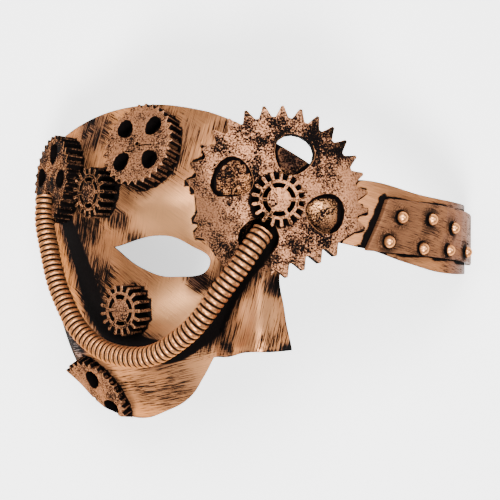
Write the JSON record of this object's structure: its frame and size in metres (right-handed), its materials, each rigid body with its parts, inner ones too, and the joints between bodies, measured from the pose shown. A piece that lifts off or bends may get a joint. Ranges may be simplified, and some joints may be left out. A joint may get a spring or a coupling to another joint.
{
  "type": "steampunk half face mask",
  "caption": "Moulded half face mask with one eye opening, a nose, a riveted side band, decorative gears and a ribbed tube across the cheek.",
  "frame": {"origin": "on the resting plane, under the middle of the mask's box", "axes": "+X towards the wearer's left, along the side band, +Y towards the forehead, +Z the way the face looks"},
  "size_m": [0.1794, 0.1172, 0.0942],
  "materials": {
    "aged_copper": "moulded plastic painted as brushed aged copper with black in the low places",
    "dark_copper": "moulded plastic painted as dark speckled copper"
  },
  "bodies": {
    "root": {"mask_shell": "aged_copper", "big_gear": "dark_copper", "hub_gear": "dark_copper", "temple_gear": "aged_copper", "forehead_gear": "aged_copper", "jaw_gear": "aged_copper", "temple_small_gear": "aged_copper", "cheek_small_gear": "aged_copper", "corrugated_tube": "aged_copper", "rivet_plate": "aged_copper", "rivet_1": "aged_copper", "rivet_2": "aged_copper", "rivet_3": "aged_copper", "rivet_4": "aged_copper", "rivet_5": "aged_copper", "rivet_6": "aged_copper", "rivet_7": "aged_copper"}
  },
  "joints": []
}
